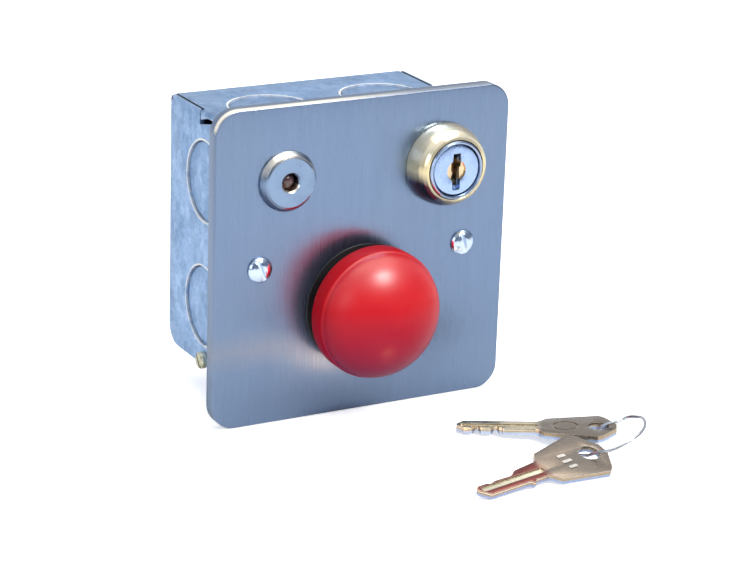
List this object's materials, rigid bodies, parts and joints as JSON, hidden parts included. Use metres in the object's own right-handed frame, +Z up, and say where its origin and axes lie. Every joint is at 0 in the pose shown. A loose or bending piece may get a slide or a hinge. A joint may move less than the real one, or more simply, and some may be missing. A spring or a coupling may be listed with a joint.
{
  "type": "key switch push-button control station",
  "caption": "Wall control station: square brushed-steel plate on a galvanised knock-out box, with indicator lamp, key lock switch, mushroom push button, and keys on a wire ring.",
  "frame": {"origin": "centre of the box's back outer face, where it rests on the wall", "axes": "+X to the right seen from the front, +Y from the front into the wall, +Z up"},
  "size_m": [0.0973, 0.1142, 0.086],
  "materials": {
    "galvanised_sheet": "zinc spangle, satin",
    "brushed_plate": "vertical brushing, satin",
    "zinc_screws": "zinc plated, bright",
    "chrome_trim": "polished",
    "nickel_lock": "nickel plated, lightly worn",
    "brass_contacts": "satin",
    "key_nickel": "nickel silver, lightly worn",
    "red_button": "satin moulded",
    "black_moulding": "fine moulded grain",
    "grey_moulding": "fine moulded grain",
    "gasket_rubber": "matt",
    "lamp_lens": "unlit tinted lens",
    "spring_wire": "bright drawn wire",
    "red_insulation": "smooth insulation",
    "black_insulation": "smooth insulation",
    "blue_insulation": "smooth insulation"
  },
  "bodies": {
    "station": {"box_body": "galvanised_sheet", "left_side_plate": "galvanised_sheet", "right_side_plate": "galvanised_sheet", "left_lug": "galvanised_sheet", "right_lug": "galvanised_sheet", "left_side_screw": "zinc_screws", "right_side_screw": "zinc_screws", "faceplate": "brushed_plate", "plate_screw_left": "zinc_screws", "plate_screw_right": "zinc_screws", "lamp_bezel": "chrome_trim", "lamp_lens": "lamp_lens", "lamp_washer": "zinc_screws", "lamp_nut": "zinc_screws", "lamp_lead_red": "red_insulation", "lamp_lead_black": "black_insulation", "lock_collar": "chrome_trim", "lock_body": "chrome_trim", "switch_housing": "black_moulding", "switch_terminal_left": "brass_contacts", "switch_terminal_right": "brass_contacts", "switch_screw_left": "zinc_screws", "switch_screw_right": "zinc_screws", "button_bushing": "black_moulding", "button_gasket": "gasket_rubber", "button_nut": "grey_moulding", "return_spring": "spring_wire", "contact_block": "black_moulding", "contact_spring": "spring_wire", "fixed_contact_left": "brass_contacts", "fixed_contact_right": "brass_contacts", "terminal_screw_left": "zinc_screws", "terminal_screw_right": "zinc_screws", "earth_terminal": "brass_contacts", "earth_screw": "zinc_screws", "link_wire": "blue_insulation"},
    "push_button": {"button_head": "red_button", "button_stem": "grey_moulding", "contact_plunger": "red_button", "contact_bridge": "brass_contacts"},
    "key_plug": {"lock_plug": "nickel_lock", "switch_rotor": "grey_moulding", "switch_wiper": "brass_contacts"},
    "wafer_1_body": {"wafer_1": "brass_contacts"},
    "wafer_2_body": {"wafer_2": "brass_contacts"},
    "wafer_3_body": {"wafer_3": "brass_contacts"},
    "wafer_4_body": {"wafer_4": "brass_contacts"},
    "wafer_5_body": {"wafer_5": "brass_contacts"},
    "ring_wire": {"key_ring": "spring_wire"},
    "first_key": {"key_a": "key_nickel"},
    "second_key": {"key_b": "key_nickel"}
  },
  "joints": [
    {"name": "button_push", "type": "slide", "parent": "station", "child": "push_button", "axis": [0, 1, 0], "range_m": [0, 0.003], "stiffness_N_per_m": 900, "springref_m": -0.001, "deforming": ["return_spring", "contact_spring"]},
    {"name": "key_turn", "type": "hinge", "parent": "station", "child": "key_plug", "pos_m": [0.02305, -0.05, 0.0214], "axis": [0, 1, 0], "range_deg": [0, 90]},
    {"name": "wafer_1_lift", "type": "slide", "parent": "key_plug", "child": "wafer_1_body", "axis": [0, 0, 1], "range_m": [-0.0004, 0.0004], "stiffness_N_per_m": 60},
    {"name": "wafer_2_lift", "type": "slide", "parent": "key_plug", "child": "wafer_2_body", "axis": [0, 0, 1], "range_m": [-0.0004, 0.0004], "stiffness_N_per_m": 60},
    {"name": "wafer_3_lift", "type": "slide", "parent": "key_plug", "child": "wafer_3_body", "axis": [0, 0, 1], "range_m": [-0.0004, 0.0004], "stiffness_N_per_m": 60},
    {"name": "wafer_4_lift", "type": "slide", "parent": "key_plug", "child": "wafer_4_body", "axis": [0, 0, 1], "range_m": [-0.0004, 0.0004], "stiffness_N_per_m": 60},
    {"name": "wafer_5_lift", "type": "slide", "parent": "key_plug", "child": "wafer_5_body", "axis": [0, 0, 1], "range_m": [-0.0004, 0.0004], "stiffness_N_per_m": 60},
    {"name": "keys_lift", "type": "slide", "parent": "station", "child": "ring_wire", "axis": [0, 0, 1], "range_m": [0, 0.08]},
    {"name": "key_a_swing", "type": "hinge", "parent": "ring_wire", "child": "first_key", "pos_m": [0.04664, -0.0913, -0.0413], "axis": [0, 0, 1], "range_deg": [-40, 0]},
    {"name": "key_b_swing", "type": "hinge", "parent": "ring_wire", "child": "second_key", "pos_m": [0.03474, -0.10494, -0.0415], "axis": [0, 0, 1], "range_deg": [0, 40]}
  ],
  "couplings": [
    {"joint": "wafer_2_lift", "follows": "wafer_1_lift", "ratio": -0.8},
    {"joint": "wafer_3_lift", "follows": "wafer_1_lift", "ratio": 0.6},
    {"joint": "wafer_4_lift", "follows": "wafer_1_lift", "ratio": -0.5},
    {"joint": "wafer_5_lift", "follows": "wafer_1_lift", "ratio": 0.9}
  ]
}
